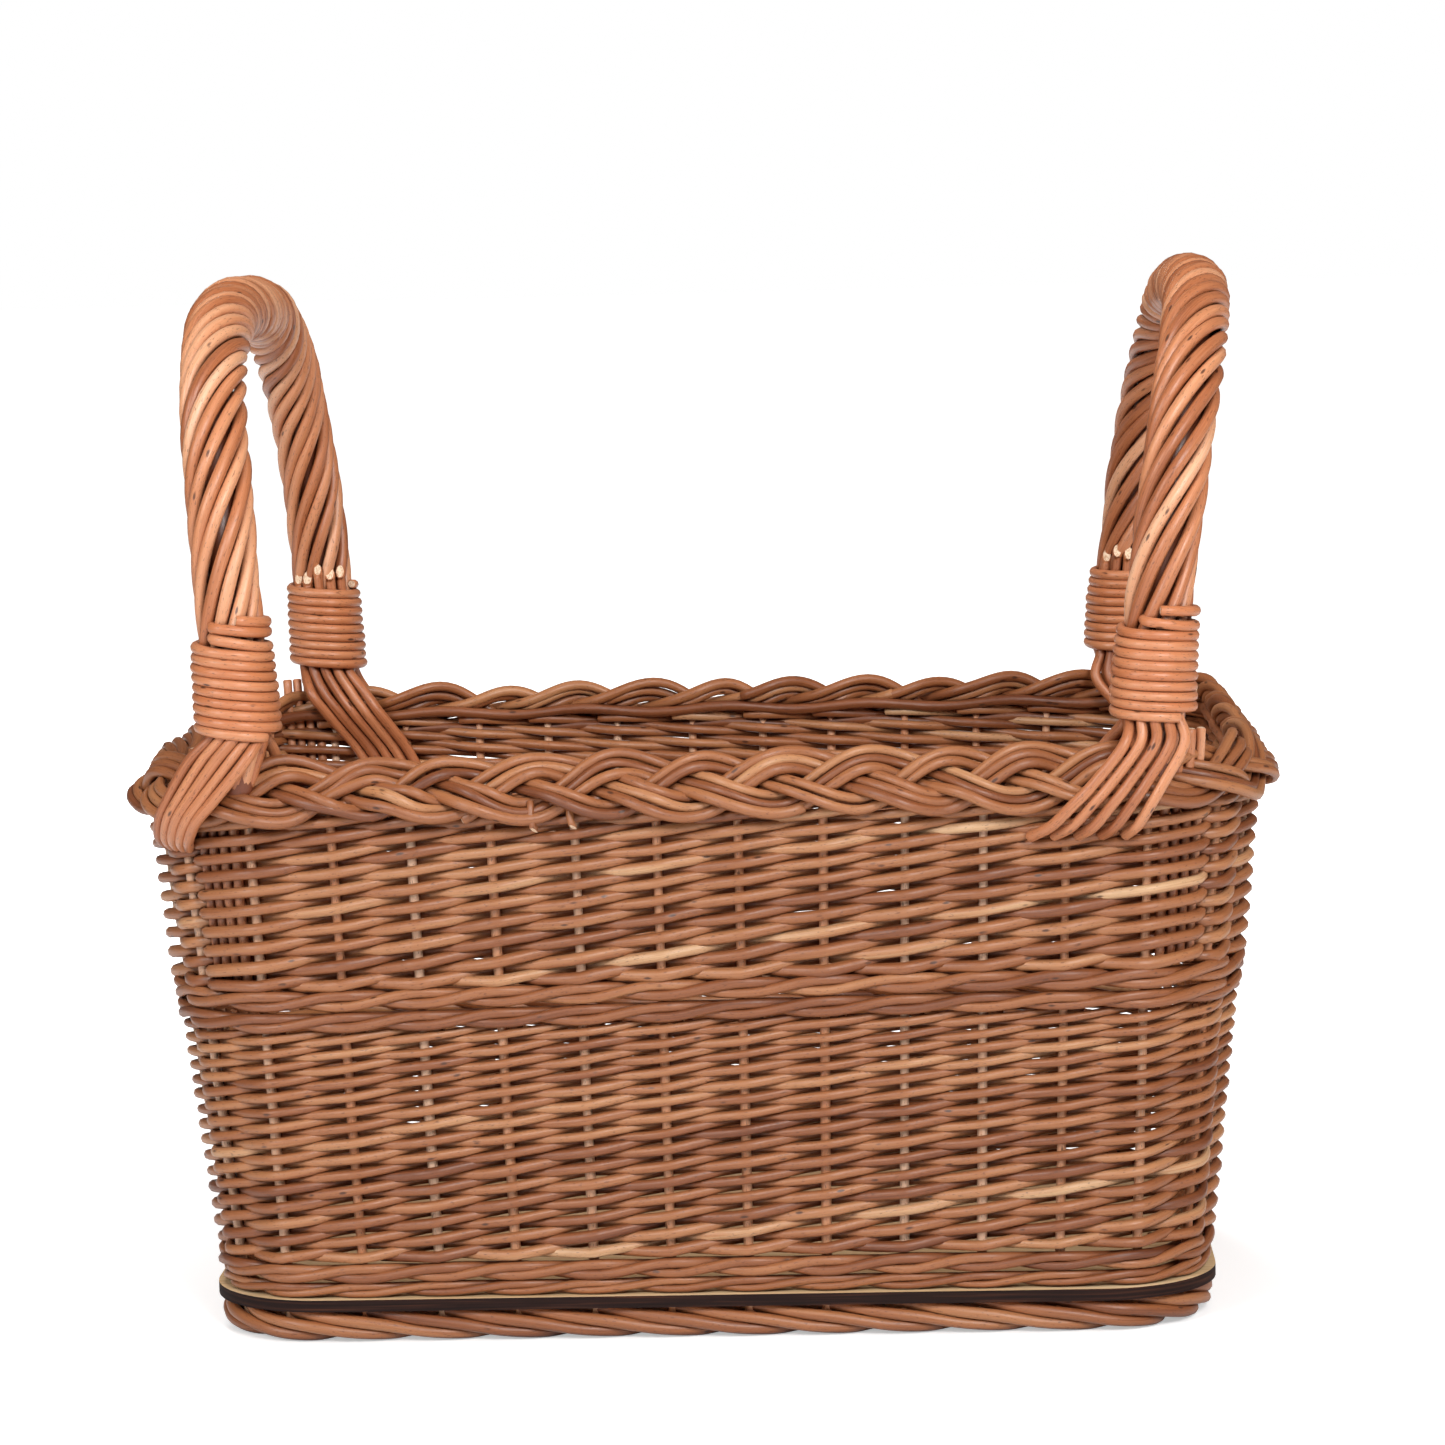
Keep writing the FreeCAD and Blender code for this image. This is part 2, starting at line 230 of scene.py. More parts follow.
def turning_frames(path):
    """Unit tangents along a path, and two normals that don't spin about it."""
    tangent = np.gradient(path, axis=0)
    tangent /= np.linalg.norm(tangent, axis=1)[:, None]
    any_direction = (0.31, 0.52, 0.79)
    start = np.cross(tangent[0], any_direction)
    normal = np.empty_like(path)
    normal[0] = start / np.linalg.norm(start)
    for i in range(1, len(path)):
        carried = normal[i - 1] - tangent[i] * (normal[i - 1] @ tangent[i])
        normal[i] = carried / np.linalg.norm(carried)
    return tangent, normal, np.cross(tangent, normal)


class Rods:
    """Willow rods gathered into one mesh, with the values that their material reads.

    Those are tone (a rod's place from dark to pale), grain (metres along the rod and across it)
    and cut (1 on the cut ends).
    """

    END_BEVEL = 0.25
    THICKNESS_WAVER = 0.035
    THICKNESS_WAVELENGTH = 0.11
    TONE_EVENNESS = 5.0
    GRAIN_SPREAD = 50

    def __init__(self, sides=8, shade=1.0):
        self.sides = sides
        self.shade = shade
        self.vertices = []
        self.faces = []
        self.cut = []
        self.tone = []
        self.grain = []
        self.count = 0

    def add(self, path, radius, tone=None, slant_start=0.0, slant_end=0.0, slant_way=(0, 0, 1)):
        """One rod. A slant cuts its end at an angle (1 is 45 degrees), longest towards slant_way."""
        path = np.asarray(path, float)
        radius = np.broadcast_to(radius, len(path)).astype(float).copy()
        length = np.linalg.norm(np.diff(path, axis=0), axis=1).sum()
        radius *= 1 + waver(len(path), length, self.THICKNESS_WAVER, self.THICKNESS_WAVELENGTH)
        path, radius = self.with_bevels(path, radius)
        tangent, normal, across = turning_frames(path)
        turn = np.arange(self.sides) * 2 * math.pi / self.sides
        around = np.cos(turn)[None, :, None] * normal[:, None]
        around = around + np.sin(turn)[None, :, None] * across[:, None]
        ring = path[:, None] + around * radius[:, None, None]
        for end, slant in ((0, slant_start), (-1, slant_end)):
            lean = (around[end] * radius[end]) @ np.asarray(slant_way, float)
            for row in (end, 1 if end == 0 else -2):
                ring[row] += tangent[end] * (slant * lean)[:, None]
        along = np.concatenate([[0], np.cumsum(np.linalg.norm(np.diff(path, axis=0), axis=1))])
        grain_start = rng.uniform(0, self.GRAIN_SPREAD)
        grain = np.empty((len(path), self.sides, 3))
        grain[:, :, 0] = along[:, None] + grain_start
        grain[:, :, 1] = np.cos(turn) * radius[:, None]
        grain[:, :, 2] = np.sin(turn) * radius[:, None]
        if tone is None:
            tone = self.shade * rng.beta(self.TONE_EVENNESS, self.TONE_EVENNESS)
        self.vertices.append(ring.reshape(-1, 3))
        self.grain.append(grain.reshape(-1, 3))
        self.tone.append(np.full(ring.shape[0] * self.sides, tone))
        self.add_faces(len(path))
        self.count += len(path) * self.sides

    def with_bevels(self, path, radius):
        """The path with a small step at each end, so that a cut end keeps a crisp edge."""
        before = path[0] - path[1]
        after = path[-1] - path[-2]
        first = path[0] + before / np.linalg.norm(before) * radius[0] * self.END_BEVEL
        last = path[-1] + after / np.linalg.norm(after) * radius[-1] * self.END_BEVEL
        shrink = 1 - self.END_BEVEL
        path = np.vstack([first, path, last])
        return path, np.concatenate([[radius[0] * shrink], radius, [radius[-1] * shrink]])

    def add_faces(self, rings):
        """Quads between one rod's rings, and a face on each cut end."""
        n = self.sides
        for i in range(rings - 1):
            low = self.count + i * n
            for j in range(n):
                k = (j + 1) % n
                self.faces.append((low + j, low + k, low + n + k, low + n + j))
        self.faces.append(tuple(self.count + j for j in reversed(range(n))))
        self.faces.append(tuple(self.count + (rings - 1) * n + j for j in range(n)))
        self.cut += [0.0] * ((rings - 1) * n) + [1.0, 1.0]

    def build(self, name, slot, material, *nodes):
        """The finished piece, in place of its CAD nodes."""
        mesh = bpy.data.meshes.new(name)
        mesh.from_pydata(np.concatenate(self.vertices).tolist(), [], self.faces)
        tone = mesh.attributes.new("tone", "FLOAT", "POINT")
        tone.data.foreach_set("value", np.concatenate(self.tone))
        grain = mesh.attributes.new("grain", "FLOAT_VECTOR", "POINT")
        grain.data.foreach_set("vector", np.concatenate(self.grain).ravel())
        cut = mesh.attributes.new("cut", "FLOAT", "FACE")
        cut.data.foreach_set("value", self.cut)
        mesh.polygons.foreach_set("use_smooth", np.array(self.cut) < 0.5)
        mesh.materials.append(material)
        mesh.update()
        piece = bpy.data.objects.new(name, mesh)
        bpy.context.scene.collection.objects.link(piece)
        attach(piece, "root")
        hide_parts(*nodes)
        return piece


# ---------------------------------------------------------------- materials

def srgb(red, green, blue):
    """Linear colour from 0-255 screen values."""
    def linear(value):
        value /= 255
        return value / 12.92 if value <= 0.04045 else ((value + 0.055) / 1.055) ** 2.4
    return linear(red), linear(green), linear(blue), 1.0


class Shader:
    """A node material, built one node at a time."""

    def __init__(self, name):
        self.material = bpy.data.materials.new(name)
        self.material.use_nodes = True
        self.tree = self.material.node_tree
        self.surface = self.tree.nodes["Principled BSDF"]

    def node(self, kind, inputs=None, **settings):
        made = self.tree.nodes.new(kind)
        for key, value in settings.items():
            setattr(made, key, value)
        for key, value in (inputs or {}).items():
            self.plug(made.inputs[key], value)
        return made

    def plug(self, socket, value):
        if isinstance(value, bpy.types.NodeSocket):
            self.tree.links.new(value, socket)
        else:
            socket.default_value = value

    def set(self, **inputs):
        for key, value in inputs.items():
            self.plug(self.surface.inputs[key.replace("_", " ")], value)

    def attribute(self, name, output="Fac"):
        return self.node("ShaderNodeAttribute", attribute_name=name).outputs[output]

    def stretched(self, vector, scale):
        return self.node("ShaderNodeMapping", {"Vector": vector, "Scale": scale}).outputs["Vector"]

    def noise(self, vector, scale=1.0, detail=3.0, roughness=0.5):
        inputs = {"Vector": vector, "Scale": scale, "Detail": detail, "Roughness": roughness}
        return self.node("ShaderNodeTexNoise", inputs).outputs["Fac"]

    def math(self, operation, first, second=0.0):
        return self.node("ShaderNodeMath", {0: first, 1: second}, operation=operation).outputs[0]

    def ramp(self, value, stops):
        made = self.node("ShaderNodeValToRGB", {"Fac": value})
        elements = made.color_ramp.elements
        while len(elements) < len(stops):
            elements.new(0.5)
        for element, (position, colour) in zip(elements, stops):
            element.position = position
            element.color = colour
        return made.outputs["Color"]

    def step(self, value, low, high):
        """0 below low, 1 above high, smooth in between."""
        inputs = {"Value": value, "From Min": low, "From Max": high}
        made = self.node("ShaderNodeMapRange", inputs, interpolation_type="SMOOTHSTEP")
        return made.outputs["Result"]

    def mix(self, share, first, second, blend="MIX"):
        made = self.node("ShaderNodeMix", data_type="RGBA", blend_type=blend)
        colour_inputs = [socket for socket in made.inputs if socket.type == "RGBA"]
        self.plug(made.inputs[0], share)
        self.plug(colour_inputs[0], first)
        self.plug(colour_inputs[1], second)
        return next(socket for socket in made.outputs if socket.type == "RGBA")

    def varied(self, value, noise, amount):
        """value moved up or down by a noise that averages one half."""
        centred = self.math("SUBTRACT", noise, 0.5)
        return self.math("ADD", value, self.math("MULTIPLY", centred, amount))

    def tinted(self, colour, where, strength, tint):
        """colour with a tint laid over it, as strong as the mask says."""
        return self.mix(self.math("MULTIPLY", where, strength), colour, tint)

    def bump(self, height, strength, distance):
        inputs = {"Height": height, "Strength": strength, "Distance": distance}
        return self.node("ShaderNodeBump", inputs).outputs["Normal"]


DARK_STREAK = srgb(120, 66, 36)
KNOT = srgb(58, 30, 20)
SPECK = srgb(82, 44, 28)
# Painted shade for the crevices between rods: the colour they are darkened towards, and how near another
# rod must be.
CREVICE_SHADE_COLOUR = srgb(104, 48, 26)
CREVICE_DEPTH = 0.006


def willow_material(name, stops, roughness=0.42, crevice_shade=1.0):
    """Boiled willow: a tone per rod, streaks, knots, specks, painted shade darkening the crevices, and pale
    wood where it is cut.

    Textures are scaled along the rod first and then across it, so that they come out long and thin.
    """
    shader = Shader(name)
    grain = shader.attribute("grain", "Vector")
    tone = shader.attribute("tone")
    patches = shader.noise(shader.stretched(grain, (9, 120, 120)), detail=2)
    streaks = shader.noise(shader.stretched(grain, (26, 1500, 1500)), detail=4, roughness=0.6)
    fibres = shader.noise(shader.stretched(grain, (160, 5200, 5200)), detail=2)

    shade = shader.varied(shader.varied(tone, patches, 0.75), streaks, 0.55)
    colour = shader.ramp(shade, stops)
    colour = shader.tinted(colour, shader.step(streaks, 0.56, 0.72), 0.30, DARK_STREAK)

    cells = {"Vector": shader.stretched(grain, (70, 200, 200)), "Scale": 1.0}
    to_cell = shader.node("ShaderNodeTexVoronoi", cells).outputs["Distance"]
    in_cell = shader.math("SUBTRACT", 1.0, shader.step(to_cell, 0.08, 0.19))
    chosen = shader.step(shader.noise(shader.stretched(grain, (30, 60, 60)), detail=1), 0.50, 0.57)
    knot = shader.math("MULTIPLY", in_cell, chosen)
    colour = shader.tinted(colour, knot, 0.85, KNOT)
    specks = shader.step(shader.noise(shader.stretched(grain, (420, 1500, 1500)), detail=1), 0.64, 0.71)
    colour = shader.tinted(colour, specks, 0.55, SPECK)

    # Painted shade: where ambient occlusion finds rods close by, the colour is darkened towards a deep
    # brown, as shade in the crevices.
    occlusion = shader.node("ShaderNodeAmbientOcclusion", {"Distance": CREVICE_DEPTH}, samples=4)
    hidden = shader.math("SUBTRACT", 1.0, shader.step(occlusion.outputs["AO"], -0.05, 0.55))
    crevice_shaded = shader.mix(1.0, colour, CREVICE_SHADE_COLOUR, blend="MULTIPLY")
    colour = shader.tinted(colour, hidden, crevice_shade, crevice_shaded)

    cut = shader.attribute("cut")
    pith = shader.noise(shader.stretched(grain, (1, 1400, 1400)), detail=3)
    cut_colour = shader.ramp(pith, [(0.3, srgb(196, 150, 112)), (0.6, srgb(240, 214, 184))])
    colour = shader.mix(cut, colour, cut_colour)

    ridges = shader.math("MULTIPLY", streaks, 0.6)
    height = shader.math("ADD", ridges, shader.math("MULTIPLY", fibres, 0.4))
    height = shader.math("SUBTRACT", height, shader.math("MULTIPLY", knot, 0.8))
    dullness = shader.varied(roughness, fibres, 0.25)
    dullness = shader.math("ADD", dullness, shader.math("MULTIPLY", cut, 0.3))
    shader.set(Base_Color=colour, Roughness=dullness, Normal=shader.bump(height, 0.35, 0.0006))
    shader.set(Coat_Weight=0.20, Coat_Roughness=0.30)
    return shader.material


def plywood_material():
    """Birch-faced plywood: pale long grain on the faces, and a charred, layered laser-cut edge."""
    shader = Shader("plywood")
    place = shader.node("ShaderNodeTexCoord").outputs["Object"]
    long_grain = shader.noise(shader.stretched(place, (6, 260, 40)), detail=5, roughness=0.6)
    broad = shader.noise(shader.stretched(place, (2.5, 30, 5)), detail=2)
    birch = [(0.25, srgb(196, 158, 112)), (0.5, srgb(222, 190, 146)), (0.75, srgb(236, 210, 172))]
    face = shader.tinted(shader.ramp(long_grain, birch), broad, 0.35, srgb(206, 168, 120))
    layers = shader.noise(shader.stretched(place, (18, 18, 900)), detail=2)
    char = shader.ramp(layers, [(0.3, srgb(22, 11, 9)), (0.55, srgb(38, 20, 16)), (0.75, srgb(70, 40, 26))])
    normal = shader.node("ShaderNodeNewGeometry").outputs["Normal"]
    upward = shader.node("ShaderNodeSeparateXYZ", {"Vector": normal}).outputs["Z"]
    flat = shader.step(shader.math("ABSOLUTE", upward), 0.4, 0.6)
    shader.set(Base_Color=shader.mix(flat, char, face), Roughness=0.75, Specular_IOR_Level=0.2)
    shader.set(Normal=shader.bump(long_grain, 0.15, 0.0005))
    return shader.material


def colour_board():
    """The board keeps its CAD shape and gets its plywood."""
    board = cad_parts["base_board"]
    board.data.materials.clear()
    board.data.materials.append(plywood_material())


# Willow's colours from its darkest to its palest rods.
WILLOW_STOPS = [
    (0.00, srgb(92, 44, 20)),
    (0.30, srgb(134, 77, 43)),
    (0.55, srgb(158, 99, 60)),
    (0.80, srgb(178, 123, 82)),
    (1.00, srgb(202, 162, 122)),
]
WRAP_STOPS = [
    (0.00, srgb(142, 74, 40)),
    (0.50, srgb(190, 116, 74)),
    (1.00, srgb(214, 152, 112)),
]
# The handles' willow is given paler colours than the woven willow: painted light, for rods that stand in
# the open while the woven ones lie in the weave's shade.
HANDLE_STOPS = [
    (0.00, srgb(118, 60, 32)),
    (0.30, srgb(174, 105, 66)),
    (0.55, srgb(202, 134, 93)),
    (0.80, srgb(218, 160, 121)),
    (1.00, srgb(232, 190, 158)),
]
willow = willow_material("woven_willow", WILLOW_STOPS)
# The stakes' willow has the handles' paler colours and none of the painted crevice shade.
stake_willow = willow_material("stake_willow", HANDLE_STOPS, crevice_shade=0.0)
handle_willow = willow_material("handle_willow", HANDLE_STOPS, roughness=0.38)
wrap_willow = willow_material("binding_willow", WRAP_STOPS, roughness=0.34)


# ---------------------------------------------------------------- stakes and weaving

# Number of the stake in the middle of the right short side.
QUARTER = HALF_FRONT_STAKES + CORNER_STEPS - 1
# The gaps between stakes where a handle's core ends stand: the gap's first stake, and whether the ends
# stand near that stake or near the next.
HANDLE_GAPS = {
    "front_right": (HALF_FRONT_STAKES - 1, True),
    "back_right": (2 * QUARTER - HALF_FRONT_STAKES, False),
    "back_left": (2 * QUARTER + HALF_FRONT_STAKES, True),
    "front_left": (4 * QUARTER + 1 - HALF_FRONT_STAKES, False),
}
# Share of such a gap that the core ends fill.
GAP_PACKED_SHARE = 0.62
# How far a panel or a stake runs up into the rim, and a panel's edge into a wale.
WEAVE_INTO_RIM = 0.020
WEAVE_INTO_WALE = 0.0028
STAKE_INTO_RIM = 0.022
# How far a weaver rises and falls between stakes.
WEAVER_SWING = 0.0003
# How far the first rows sit down on the board.
BASE_SETTLE = 0.0026
STEPS_PER_STAKE = 8
# Tone of the rods that lie hidden behind a border: dark, as painted shade where its gaps show them.
FILLER_SHADE_TONE = 0.2


def packed(q):
    """q with each handle gap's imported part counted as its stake, so that weavers pass the whole pack."""
    base = np.floor(q)
    share = q - base
    gap = np.mod(base, STAKES)
    for stake, near_start in HANDLE_GAPS.values():
        here = gap == stake
        if near_start:
            moved = np.clip((share - GAP_PACKED_SHARE) / (1 - GAP_PACKED_SHARE), 0, 1)
        else:
            moved = np.clip(share / (1 - GAP_PACKED_SHARE), 0, 1)
        share = np.where(here, moved, share)
    return base + share


def build_stakes():
    """Upright rods through the board's holes, one piece for each wall."""
    front = HALF_FRONT_STAKES
    side = 2 * CORNER_STEPS - 1
    numbers = np.roll(np.arange(STAKES), front)
    groups = {
        "front_stakes": numbers[: 2 * front],
        "right_stakes": numbers[2 * front: 2 * front + side],
        "back_stakes": numbers[2 * front + side: 4 * front + side],
        "left_stakes": numbers[4 * front + side:],
    }
    bottom = 0.005
    z = np.linspace(bottom, RIM_Z + STAKE_INTO_RIM, 40)
    for name, stakes in groups.items():
        # Painted light: the stakes' tones are scaled far above the other rods', to make up for the shade
        # they stand in between the weavers.
        rods = Rods(shade=1.6)
        for stake in stakes:
            outward = waver(len(z), z[-1], 0.00035, 0.05)
            radius = np.interp(z, (BASE_Z, RIM_Z), (STAKE_RADIUS_LOW, STAKE_RADIUS_HIGH))
            rods.add(wall_point(float(stake), z, outward), radius * rng.uniform(0.95, 1.05))
        rods.build(name + "_rods", "stake_willow", stake_willow, name)


def kinked(turn):
    """Like a cosine, but straight between the stakes and bent only where a rod rounds one."""
    sharpness = 0.975
    return np.arcsin(sharpness * np.cos(turn)) / math.asin(sharpness)


def randing(z_low, z_high, pitch_low, pitch_high, radius_butt, radius_tip, pack_handles):
    """French randing: one weaver starts at each stake, and all climb side by side, thick end first.

    The pitches are the height of a row at the panel's bottom and top. With pack_handles, a weaver passes
    the core ends beside a handle together with their stake.
    """
    rods = Rods()
    rows = 2 * int((z_high - z_low) / (pitch_low + pitch_high)) + 1
    ease = (pitch_low - pitch_high) / (pitch_low + pitch_high)
    butt_length, tip_length = 0.75, 0.30
    q = np.arange(-butt_length, rows + tip_length, 1 / STEPS_PER_STAKE)
    for stake in range(STAKES):
        size = rng.uniform(0.92, 1.06)
        share = np.clip(q / rows, 0, 1)
        radius = (radius_butt + share * (radius_tip - radius_butt)) * size
        z = z_low + radius_butt + (z_high - z_low - 2 * radius_butt) * share * (1 + ease * (1 - share))
        z += waver(len(q), rows * FRONT_PITCH_HIGH, 0.00025, 0.09)
        place = stake + q
        weave_place = packed(place) if pack_handles else place
        turn = math.pi * (weave_place - stake)
        z += WEAVER_SWING * np.sin(turn)
        outward = (STAKE_RADIUS + radius) * kinked(turn)
        rods.add(wall_point(place, z, outward), radius)
    return rods


def wale(z_low, radius):
    """Three-rod wale: each rod passes in front of two stakes, rising, and behind one."""
    rods = Rods(shade=0.75)
    strands = 3
    rods_per_turn = 3
    stakes_per_rod = STAKES // rods_per_turn
    overlap = 0.3
    # At three stakes in a row: height in rod radii, and distance outward in shares of touching the stake.
    heights = (1.0, 2.9, 1.95)
    outwards = (1.0, 1.05, -1.0)
    for strand in range(strands):
        for start in range(strand + 2, strand + 2 + STAKES, stakes_per_rod):
            size = rng.uniform(0.93, 1.07) * radius
            q = np.arange(-overlap, stakes_per_rod + overlap, 1 / STEPS_PER_STAKE) + start
            index = np.floor(q).astype(int)
            share = q - index
            blend = (1 - np.cos(math.pi * share)) / 2
            here = np.mod(index - strand, strands)
            following = np.mod(index + 1 - strand, strands)
            height = np.choose(here, heights) * (1 - blend) + np.choose(following, heights) * blend
            outward = np.choose(here, outwards) * (1 - blend) + np.choose(following, outwards) * blend
            outward = outward * (STAKE_RADIUS + size)
            z = z_low + height * radius + waver(len(q), stakes_per_rod * FRONT_PITCH_LOW, 0.0002, 0.1)
            rods.add(wall_point(q, z, outward), size)
    return rods


def build_walls():
    """Both woven panels and the four rows of wale that close them."""
    # Each wale's rod radius, and how far it has settled below its CAD ring.
    wales = {
        "base_wale_lower": (0.0022, 0),
        "base_wale_upper": (0.0027, BASE_SETTLE),
        "middle_wale_lower": (0.0027, 0),
        "middle_wale_upper": (0.0029, 0.0004),
    }
    for name, (radius, drop) in wales.items():
        low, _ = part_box(name)
        wale(low.z - drop, radius).build(name + "_rods", "woven_willow", willow, name)
    lower = randing(
        z_low=LOWER_LOW.z - BASE_SETTLE,
        z_high=LOWER_HIGH.z + WEAVE_INTO_WALE,
        pitch_low=0.0050,
        pitch_high=0.00365,
        radius_butt=0.00295,
        radius_tip=0.0022,
        pack_handles=False,
    )
    lower.build("lower_weave_rods", "woven_willow", willow, "lower_weave")
    upper = randing(
        z_low=UPPER_LOW.z - WEAVE_INTO_WALE / 2,
        z_high=UPPER_HIGH.z + WEAVE_INTO_RIM,
        pitch_low=0.0054,
        pitch_high=0.0041,
        radius_butt=0.0032,
        radius_tip=0.0025,
        pack_handles=True,
    )
    upper.build("upper_weave_rods", "woven_willow", willow, "upper_weave")


def build_foot_border():
    """Border under the board: one thick strand per stake, slanting down in front of the next stakes."""
    rods = Rods(sides=10, shade=0.75)
    low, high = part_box("foot_border")
    radius = 0.0031
    for stake in range(STAKES):
        # Way of a strand as (stakes along, height, distance outward).
        way = [
            (-0.35, high.z - 0.0020, -0.0050),
            (0.10, high.z - 0.0022, 0.0005),
            (0.60, high.z - 0.0046, 0.0052),
            (1.20, high.z - 0.0076, 0.0066),
            (1.80, low.z + 0.0052, 0.0058),
            (2.30, low.z + 0.0036, 0.0022),
            (2.65, low.z + 0.0040, -0.0050),
        ]
        q, z, outward = smooth_path(way, 40).T
        z = np.maximum(z, low.z + radius)
        size = rng.uniform(0.93, 1.06)
        rods.add(wall_point(stake + q, z, outward), radius * size)
    # A rod behind the strands, so that nothing shows through between them; its dark tone is painted shade.
    q = np.arange(0, STAKES + 0.5, 0.25)
    rods.add(wall_point(q, (low.z + high.z) / 2 + 0.0042, -0.0030), radius, tone=FILLER_SHADE_TONE)
    rods.build("foot_border_rods", "woven_willow", willow, "foot_border")


# ---------------------------------------------------------------- rim border

# The plait's middle line, out from the stake line and up from the rim's bottom, and its cross-section.
BRAID_CENTRE_OUT = 0.0030
BRAID_CENTRE_UP = 0.0205
BRAID_TILT = math.radians(50)
BRAID_HALF_WIDTH = 0.0125
BRAID_DEPTH = 0.0040
BRAID_ROD_RADIUS = 0.0029
BRAID_ROD_SPACING = 0.0054
# Where the plait lies loosely and how far that reaches, in stakes, and how much looser it is there.
LOOSE_PLACE = -4.2
LOOSE_SPREAD = 1.3
LOOSE_EXTRA = 2.0


def braid_point(q, across, lift):
    """Point of the plait: across runs from its outer bottom to its inner top, lift out of its face."""
    outward = BRAID_CENTRE_OUT - across * math.cos(BRAID_TILT) + lift * math.sin(BRAID_TILT)
    z = RIM_Z + BRAID_CENTRE_UP + across * math.sin(BRAID_TILT) + lift * math.cos(BRAID_TILT)
    return wall_point(q, z, outward)


def looseness(q):
    """How loosely the plait lies: most of all where it was begun, at the front left."""
    nearest = np.mod(q + STAKES / 2, STAKES) - STAKES / 2
    return 1 + LOOSE_EXTRA * np.exp(-((nearest - LOOSE_PLACE) / LOOSE_SPREAD) ** 2)


def build_rim():
    """Plait of three strands, each of two or three rods side by side, one crossing per stake."""
    rods = Rods()
    period = 3
    steps_per_stake = 12
    rods_per_turn = 4
    stakes_per_rod = STAKES / rods_per_turn
    under_the_others = -period / 8
    pitch = FRONT_PITCH_HIGH
    length = stakes_per_rod * pitch
    for strand, members in enumerate((3, 3, 2)):
        for member in range(members):
            first = strand + under_the_others + rng.integers(0, 7) * period / 2
            for start in first + np.arange(rods_per_turn) * stakes_per_rod:
                q = np.arange(0, stakes_per_rod + 0.1, 1 / steps_per_stake) + start
                sideways = (member - (members - 1) / 2) * BRAID_ROD_SPACING
                sideways = sideways + waver(len(q), length, 0.0005, 0.10) * looseness(q)
                turn = 2 * math.pi * (q - strand) / period
                half_width = BRAID_HALF_WIDTH + waver(len(q), length, 0.0006, 0.17)
                across = half_width * np.sin(turn)
                slope = half_width * 2 * math.pi / period * np.cos(turn) / pitch
                flat = 1 / np.sqrt(1 + slope ** 2)
                across = across + sideways * flat
                place = q - sideways * slope * flat / pitch
                lift = BRAID_DEPTH * np.sin(2 * turn) + waver(len(q), length, 0.0004, 0.08) * looseness(q)
                rods.add(braid_point(place, across, lift), BRAID_ROD_RADIUS * rng.uniform(0.86, 1.04))
    # Two rods behind the plait, so that nothing shows through it; their dark tone is painted shade.
    q = np.arange(0, STAKES + 0.5, 0.25)
    depth = -0.0080
    for across in (-0.006, 0.007):
        path = braid_point(q, across + 0.002 * np.sin(math.pi * q), depth)
        rods.add(path, BRAID_ROD_RADIUS, tone=FILLER_SHADE_TONE)
    add_trimmed_ends(rods)
    rods.build("rim_border_rods", "woven_willow", willow, "rim_border")


def add_trimmed_ends(rods):
    """A few rod ends, one to three together, cut off where they come out under the plait."""
    groups = 9
    radius = 0.0019
    spacing = 0.11
    for place in rng.uniform(0, STAKES, groups):
        for q in place + np.arange(rng.integers(1, 4)) * spacing:
            tip = (q + 0.03, rng.uniform(0.000, 0.0025), 0.0120)
            along, up, outward = smooth_path([(q, 0.014, 0.007), (q, 0.006, 0.0105), tip], 6).T
            path = wall_point(along, RIM_Z + up, outward)
            rods.add(path, radius, slant_end=1.2, slant_way=(0.6, 0.6, 0.4))


# ---------------------------------------------------------------- handles

# The arch starts at this height; below it each leg goes straight down into its wrap and fan, and its rods
# draw in until their orbit is this share of what it was.
HANDLE_FOOT_Z = RIM_HIGH.z + 0.0095
HANDLE_SINK = 0.030
SUNK_ORBIT = 0.30
HANDLE_STEPS = 150
# One turn of the twist takes this much of the handle.
TWIST_PITCH_FOOT = 0.300
TWIST_PITCH_CROWN = 0.105


def arch(side):
    """Evenly spread points along a handle's centre line, from the front foot to the back foot."""
    low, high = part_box("left_handle_core" if side == LEFT else "right_handle_core")
    foot_x = (low.x if side == RIGHT else high.x) + side * CORE_RADIUS
    crown_x = (high.x if side == RIGHT else low.x) - side * CORE_RADIUS
    fine_steps = 2001
    angle = np.linspace(0, math.pi, fine_steps)
    power = 2 / HANDLE_SQUARENESS
    y = -(high.y - CORE_RADIUS) * np.sign(np.cos(angle)) * np.abs(np.cos(angle)) ** power
    rise = np.abs(np.sin(angle)) ** power
    z = HANDLE_FOOT_Z + (high.z - CORE_RADIUS - HANDLE_FOOT_Z) * rise
    x = foot_x + (crown_x - foot_x) * rise ** HANDLE_LEAN_POWER
    path = np.column_stack([x, y, z])
    path = np.vstack([path[0] - (0, 0, HANDLE_SINK), path, path[-1] - (0, 0, HANDLE_SINK)])
    along = np.concatenate([[0], np.cumsum(np.linalg.norm(np.diff(path, axis=0), axis=1))])
    even = np.linspace(0, along[-1], HANDLE_STEPS)
    return np.column_stack([np.interp(even, along, path[:, axis]) for axis in range(3)]), along[-1]


def arch_frames(path, side):
    """Directions square to a handle at each of its points: the outward one, and one square to that too."""
    tangent = np.gradient(path, axis=0)
    tangent /= np.linalg.norm(tangent, axis=1)[:, None]
    outward = np.array([side, 0.0, 0.0]) - tangent * (tangent[:, :1] * side)
    outward /= np.linalg.norm(outward, axis=1)[:, None]
    return outward, np.cross(tangent, outward)


